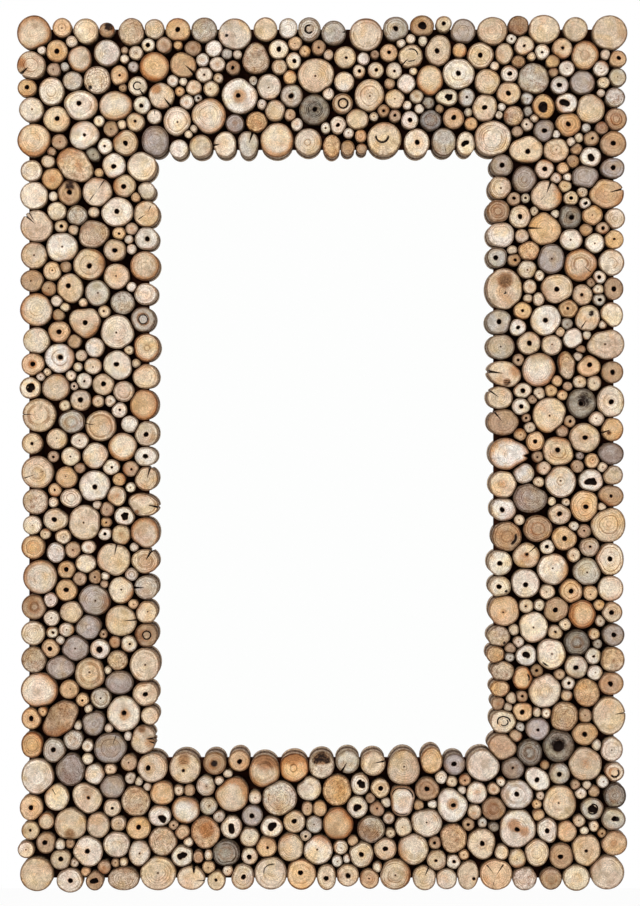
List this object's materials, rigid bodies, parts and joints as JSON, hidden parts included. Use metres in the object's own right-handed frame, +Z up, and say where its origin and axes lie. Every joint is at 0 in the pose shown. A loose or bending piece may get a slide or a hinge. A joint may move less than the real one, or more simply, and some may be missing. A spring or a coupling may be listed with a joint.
{
  "type": "wall mirror",
  "caption": "Portrait wall mirror with a flat border of round driftwood branch slices set on end over dark boards, a rebated glass, a back held by turn buttons and ring hangers.",
  "frame": {"origin": "middle of the whole mirror, half way through its depth", "axes": "+Z up along the height, +X to the viewer's right across the width, -Y out of the front and +Y to the wall"},
  "size_m": [0.6953, 0.0466, 0.999],
  "materials": {
    "driftwood": "dry weathered end grain",
    "dark_board": "dark brown stain",
    "mirror": "silvered polished glass",
    "packing": "matte foam",
    "hardboard": "smooth brown hardboard",
    "button_brass": "satin",
    "screw_steel": "zinc plated",
    "hanger_steel": "zinc plated",
    "pad_rubber": "matte"
  },
  "bodies": {
    "frame": {"top_outer_row": "driftwood", "right_outer_row": "driftwood", "bottom_outer_row": "driftwood", "left_outer_row": "driftwood", "top_inner_row": "driftwood", "right_inner_row": "driftwood", "bottom_inner_row": "driftwood", "left_inner_row": "driftwood", "top_large_infill": "driftwood", "right_large_infill": "driftwood", "bottom_large_infill": "driftwood", "left_large_infill": "driftwood", "top_medium_infill": "driftwood", "right_medium_infill": "driftwood", "bottom_medium_infill": "driftwood", "left_medium_infill": "driftwood", "top_small_infill": "driftwood", "right_small_infill": "driftwood", "bottom_small_infill": "driftwood", "left_small_infill": "driftwood", "left_stile": "dark_board", "right_stile": "dark_board", "top_rail": "dark_board", "bottom_rail": "dark_board", "corner_screws": "screw_steel", "mirror_glass": "mirror", "packing_sheet": "packing", "back_panel": "hardboard", "button_screws": "screw_steel", "hanger_screws": "screw_steel", "left_hanger_strap": "hanger_steel", "right_hanger_strap": "hanger_steel", "wall_pads": "pad_rubber"},
    "left_upper_button": {"left_upper_button": "button_brass"},
    "left_middle_button": {"left_middle_button": "button_brass"},
    "left_lower_button": {"left_lower_button": "button_brass"},
    "right_upper_button": {"right_upper_button": "button_brass"},
    "right_middle_button": {"right_middle_button": "button_brass"},
    "right_lower_button": {"right_lower_button": "button_brass"},
    "top_left_button": {"top_left_button": "button_brass"},
    "top_right_button": {"top_right_button": "button_brass"},
    "bottom_left_button": {"bottom_left_button": "button_brass"},
    "bottom_right_button": {"bottom_right_button": "button_brass"},
    "left_hanger_ring": {"left_hanger_ring": "hanger_steel"},
    "right_hanger_ring": {"right_hanger_ring": "hanger_steel"}
  },
  "joints": [
    {"name": "left_upper_button_turn", "type": "hinge", "parent": "frame", "child": "left_upper_button", "pos_m": [-0.215, 0.01775, 0.22968], "axis": [0, 1, 0], "range_deg": [-180, 180]},
    {"name": "left_middle_button_turn", "type": "hinge", "parent": "frame", "child": "left_middle_button", "pos_m": [-0.215, 0.01775, 0], "axis": [0, 1, 0], "range_deg": [-180, 180]},
    {"name": "left_lower_button_turn", "type": "hinge", "parent": "frame", "child": "left_lower_button", "pos_m": [-0.215, 0.01775, -0.22968], "axis": [0, 1, 0], "range_deg": [-180, 180]},
    {"name": "right_upper_button_turn", "type": "hinge", "parent": "frame", "child": "right_upper_button", "pos_m": [0.215, 0.01775, 0.22968], "axis": [0, 1, 0], "range_deg": [-180, 180]},
    {"name": "right_middle_button_turn", "type": "hinge", "parent": "frame", "child": "right_middle_button", "pos_m": [0.215, 0.01775, 0], "axis": [0, 1, 0], "range_deg": [-180, 180]},
    {"name": "right_lower_button_turn", "type": "hinge", "parent": "frame", "child": "right_lower_button", "pos_m": [0.215, 0.01775, -0.22968], "axis": [0, 1, 0], "range_deg": [-180, 180]},
    {"name": "top_left_button_turn", "type": "hinge", "parent": "frame", "child": "top_left_button", "pos_m": [-0.0985, 0.01775, 0.366], "axis": [0, 1, 0], "range_deg": [-180, 180]},
    {"name": "top_right_button_turn", "type": "hinge", "parent": "frame", "child": "top_right_button", "pos_m": [0.0985, 0.01775, 0.366], "axis": [0, 1, 0], "range_deg": [-180, 180]},
    {"name": "bottom_left_button_turn", "type": "hinge", "parent": "frame", "child": "bottom_left_button", "pos_m": [-0.0985, 0.01775, -0.366], "axis": [0, 1, 0], "range_deg": [-180, 180]},
    {"name": "bottom_right_button_turn", "type": "hinge", "parent": "frame", "child": "bottom_right_button", "pos_m": [0.0985, 0.01775, -0.366], "axis": [0, 1, 0], "range_deg": [-180, 180]},
    {"name": "left_ring_swing", "type": "hinge", "parent": "frame", "child": "left_hanger_ring", "pos_m": [-0.26575, 0.0195, 0.25], "axis": [1, 0, 0], "range_deg": [0, 180]},
    {"name": "right_ring_swing", "type": "hinge", "parent": "frame", "child": "right_hanger_ring", "pos_m": [0.26575, 0.0195, 0.25], "axis": [1, 0, 0], "range_deg": [0, 180]}
  ]
}
